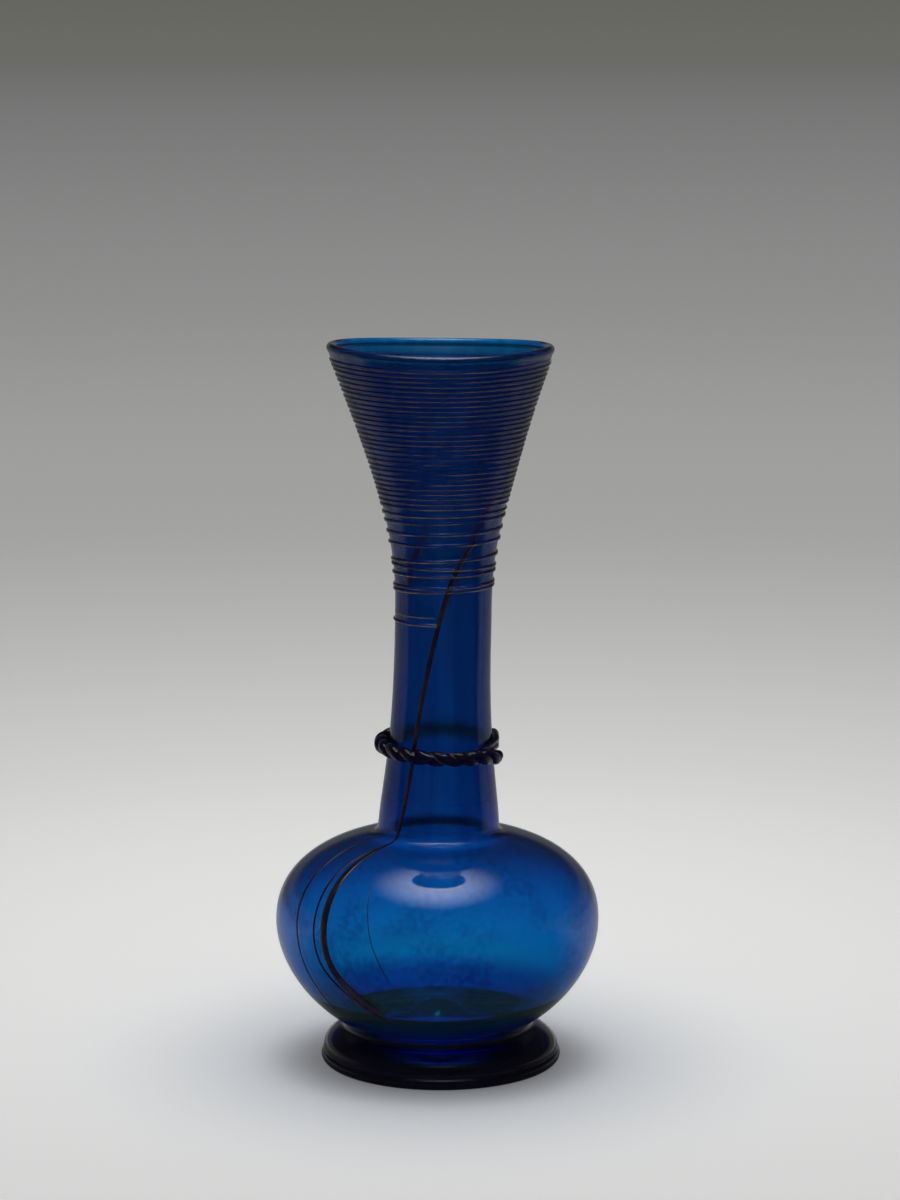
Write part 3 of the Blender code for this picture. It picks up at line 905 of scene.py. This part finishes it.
def strandPath(phase, grit=0.0):
    # places and thicknesses of one strand along the cane, or of the grit beside it
    course = [(-angle, rise) for angle, rise in collar["course"]]
    start, end = course[0][0], course[-1][0]
    turned = radians(end - start)
    length = turned * (sideRadius(rootZ + course[2][1] * mm) + collar["thickness"] / 2)
    steps = round(length / collar["strandPitch"] * collar["stepsPerTwist"])
    stop = 2 * (1 - radians(collar["tailFrom"][1]) / turned) * length / collar["strandPitch"]
    lastTwist = pi * (round(stop - 0.5) + 0.5)
    points = []
    for step in range(steps + 1):
        done = step / steps
        where = start + (end - start) * done
        angle = -radians(where)
        thin = smooth(turned * (1 - done), 0, radians(collar["taper"]))
        thick = collar["tip"] + (1 - collar["tip"]) * thin
        thick *= sqrt(min(1.0, 0.45 + step / 5, 0.3 + (steps - step) / 6))
        half = collar["thickness"] / 2 * thick
        z = rootZ + along(course, where) * mm
        twist = min(2 * pi * length * done / collar["strandPitch"], lastTwist) + phase
        wound = smooth(turned * (1 - done), *(radians(a) for a in collar["tailFrom"]))
        share = collar["tailShare"] + (collar["strandShare"] - collar["tailShare"]) * wound
        offset, thickness = half * (1 - share), half * share
        if grit:
            offset = half * sqrt(share * share - (1 - share) ** 2) + grit * 0.9
            cling = noise.noise(Vector((where * 0.05, phase * 3, 0.5)))
            stayed = smooth(cling, *collar["gritEdge"])
            thickness = grit / 2 * stayed * smooth(cos(twist), *collar["gritFront"])
        radius = sideRadius(z) + half * (share + (1 - share) * wound) - collar["sink"] + offset * cos(twist)
        radius += collar["tailOut"] * (1 - smooth(turned * (1 - done), 0, radians(45)))
        height = z + offset * sin(twist)
        points.append((settle(radius * cos(angle), radius * sin(angle), height), thickness))
    return points


def makeTubes(name, paths, roundness):
    # round tubes along paths of places and thicknesses, all in one mesh
    clearAll()
    line = bpy.data.curves.new(name, "CURVE")
    line.dimensions = "3D"
    line.bevel_depth = 1.0
    line.bevel_resolution = roundness
    line.use_fill_caps = True
    for path in paths:
        spline = line.splines.new("POLY")
        spline.points.add(len(path) - 1)
        for point, (place, thickness) in zip(spline.points, path):
            point.co = (*place, 1.0)
            point.radius = thickness
    piece = bpy.data.objects.new(name, line)
    bpy.context.collection.objects.link(piece)
    piece.select_set(True)
    bpy.context.view_layer.objects.active = piece
    bpy.ops.object.convert(target="MESH")
    return bpy.context.object


def makeCollar():
    strands = [strandPath(0.0), strandPath(pi)]
    piece = makeTubes("twistedCollar", strands, 4)
    fuse = piece.modifiers.new("fuse", "REMESH")
    fuse.mode = "VOXEL"
    fuse.voxel_size = collar["voxel"]
    bpy.ops.object.modifier_apply(modifier="fuse")
    melt = piece.modifiers.new("melt", "SMOOTH")
    melt.factor = 0.5
    melt.iterations = 3
    bpy.ops.object.modifier_apply(modifier="melt")
    piece.data.shade_smooth()
    return piece


twistedCollar = makeCollar()
twistedCollar.data.materials.clear()
twistedCollar.data.materials.append(makeDarkGlass())
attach(twistedCollar, "root")
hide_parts("twisted_collar")
print("collar made,", len(twistedCollar.data.vertices), "points")


# Brown streaks that were in the gather and were drawn out with the glass

def makeCloudedPaint(name, values):
    # a paint that drifts between a dark and a paler tone
    paint = bpy.data.materials.new(name)
    paint.use_nodes = True
    tree = paint.node_tree
    shader = tree.nodes["Principled BSDF"]
    place = addNode(tree, "ShaderNodeTexCoord", (-900, 0))
    cloud = addNoise(tree, (-700, 0), place.outputs["Object"], values["cloudScale"], values["cloudDetail"])
    share = fade(tree, (-500, 0), cloud, *values["cloudEdge"])
    tone = blend(tree, (-300, 0), share, values["darkTone"], values["paleTone"])
    tree.links.new(tone, shader.inputs["Base Color"])
    shader.inputs["Roughness"].default_value = values["roughness"]
    return paint


streaks = {
    # degrees from +X and millimetres down the side from the lip, then the width in mm at each place
    "main": ((-50, 62, 0.9), (-82, 80, 1.5), (-113, 120, 1.6), (-126, 157, 1.5), (-133, 171, 1.3),
             (-135.5, 185, 2.2), (-134.5, 205, 3.0), (-130, 226, 3.0), (-116, 242, 3.4), (-109, 248, 1.6)),
    "beside": ((-136, 176, 0.5), (-140, 187, 0.9), (-139.5, 205, 0.9), (-135, 226, 1.0), (-121, 241, 1.3),
               (-114, 247, 0.7)),
    "left": ((-161, 169, 0.5), (-156, 183, 1.0), (-151, 205, 1.1), (-146, 226, 0.9), (-139, 247, 0.7)),
    "hair": ((-119, 196, 0.10), (-116, 206, 0.16), (-113, 216, 0.16), (-107, 229, 0.12)),
    "lift": 0.00004,
    "sink": 0.00007,
    "stationEvery": 0.0010,
    "darkTone": (0.012, 0.009, 0.024, 1.0),
    "paleTone": (0.036, 0.022, 0.034, 1.0),
    "cloudScale": 160.0,
    "cloudDetail": 4.0,
    "cloudEdge": (0.35, 0.65),
    "roughness": 0.08,
}

arcs = [0.0]
for start, end in zip(side, side[1:]):
    arcs.append(arcs[-1] + hypot(end[0] - start[0], end[1] - start[1]))


def sidePoint(angle, arc, lift):
    # a point over the outside, at an angle in radians and a way down from the lip
    i = min(max(bisect_left(arcs, arc), 1), len(arcs) - 1)
    share = (arc - arcs[i - 1]) / (arcs[i] - arcs[i - 1])
    (r0, z0), (r1, z1) = side[i - 1], side[i]
    steep = hypot(r1 - r0, z1 - z0)
    radius, z = r0 + (r1 - r0) * share, z0 + (z1 - z0) * share
    radius += handWave(angle, z) + lift * (z0 - z1) / steep
    return settle(radius * cos(angle), radius * sin(angle), z + lift * (r1 - r0) / steep)


def radiusAtArc(arc):
    i = min(max(bisect_left(arcs, arc), 1), len(arcs) - 1)
    return side[i][0]


def layStreak(name, course):
    # a grid bent onto the glass along the course and given a little thickness
    low, high = course[0][1], course[-1][1]
    angles = [(arc, angle) for angle, arc, width in course]
    widths = [(arc, width) for angle, arc, width in course]
    steps = round((high - low) * mm / streaks["stationEvery"])
    clearAll()
    bpy.ops.mesh.primitive_grid_add(x_subdivisions=4, y_subdivisions=steps, size=1)
    strip = bpy.context.object
    strip.name = name
    for vertex in strip.data.vertices:
        across, down = 2 * vertex.co.x, vertex.co.y + 0.5
        arc = low + (high - low) * down
        radius = radiusAtArc(arc * mm)
        angle = radians(along(angles, arc))
        turning = radians(along(angles, arc + 0.5) - along(angles, arc - 0.5)) * radius / mm
        slant = hypot(turning, 1.0)
        ends = min(1.0, 0.1 + down * steps / 6, 0.1 + (1 - down) * steps / 6)
        aside = across * along(widths, arc) * mm / 2 * ends
        crown = streaks["lift"] * (1 - across * across) - streaks["sink"] * across * across
        place = sidePoint(angle + aside / slant / radius, arc * mm - aside * turning / slant, crown)
        vertex.co = place
    body = strip.modifiers.new("body", "SOLIDIFY")
    body.thickness = 0.0001
    body.offset = -1
    bpy.ops.object.modifier_apply(modifier="body")
    return strip


def makeStreaks():
    strips = [layStreak(name, streaks[name]) for name in ("main", "beside", "left", "hair")]
    clearAll()
    for strip in strips:
        strip.select_set(True)
    bpy.context.view_layer.objects.active = strips[0]
    bpy.ops.object.join()
    piece = bpy.context.object
    piece.name = "brownStreaks"
    bpy.ops.object.mode_set(mode="EDIT")
    bpy.ops.mesh.select_all(action="SELECT")
    bpy.ops.mesh.normals_make_consistent(inside=False)
    bpy.ops.object.mode_set(mode="OBJECT")
    piece.data.shade_smooth()
    return piece


brownStreaks = makeStreaks()
brownStreaks.data.materials.append(makeCloudedPaint("brownStreak", streaks))
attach(brownStreaks, "root")
print("streaks made,", len(brownStreaks.data.vertices), "points")


# Orange-brown crust along the lower edge of the thread and in the collar's grooves

crust = {
    "thickness": 0.00016,
    "below": 0.00030,              # its middle lies this far under the thread's
    "lift": 0.00048,
    "scarLift": 0.00004,
    "stepDegrees": 3.0,
    "looseRise": 0.046,            # up to here the turns are open and their crust is thicker
    "thinnest": 0.00003,           # thinner than this, it has fallen off
    "clingEdge": (-0.15, 0.45),
    "looseCling": 0.35,
    "closeCling": 0.42,
    "closeShare": 0.62,            # thickness of the crust between the close turns
    "darkTone": (0.13, 0.115, 0.095, 1.0),
    "paleTone": (0.38, 0.28, 0.17, 1.0),
    "cloudScale": 260.0,
    "cloudDetail": 5.0,
    "cloudEdge": (0.35, 0.65),
    "roughness": 0.75,
}


def threadAt(halfTurn):
    low = min(int(halfTurn), len(halfTurns) - 2)
    return halfTurns[low] + (halfTurns[low + 1] - halfTurns[low]) * (halfTurn - low)


def keepRuns(points):
    # cuts a row of places and thicknesses where the crust has fallen off
    runs, run = [], []
    for place, thick in points + [(None, 0.0)]:
        if thick > crust["thinnest"]:
            run.append((place, thick))
        else:
            if len(run) > 3:
                runs.append(run)
            run = []
    return runs


def crustRuns(places, lift):
    points = []
    for angle, z in places:
        loose = z < narrowZ + crust["looseRise"]
        cling = noise.noise(Vector((1.6 * cos(angle), 1.6 * sin(angle), z * 700)))
        cling += crust["looseCling"] if loose else crust["closeCling"]
        thick = crust["thickness"] * smooth(cling, *crust["clingEdge"])
        thick *= 1.0 if loose else crust["closeShare"]
        points.append((surfacePoint(angle, z, lift), thick))
    return keepRuns(points)


def makeCrust():
    step = crust["stepDegrees"] / 180
    count = int((len(halfTurns) - 1) / step)
    wound = [(pi + pi * i * step, threadAt(i * step) - crust["below"]) for i in range(count)]
    stray = [(radians(a), narrowZ + thread["strayRise"] * mm - crust["below"])
             for a in range(185, round(thread["strayTo"]), 2)]
    scar = [(radians(a), narrowZ + thread["scarRise"] * mm) for a in range(190, 262, 2)]
    runs = crustRuns(wound, crust["lift"]) + crustRuns(stray, crust["lift"])
    runs += crustRuns(scar, crust["scarLift"])
    for phase in (pi / 2, 3 * pi / 2):
        runs += keepRuns(strandPath(phase, collar["gritWidth"]))
    piece = makeTubes("brownCrust", runs, 1)
    piece.data.shade_smooth()
    return piece


brownCrust = makeCrust()
brownCrust.data.materials.append(makeCloudedPaint("crust", crust))
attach(brownCrust, "root")
print("crust made,", len(brownCrust.data.vertices), "points")
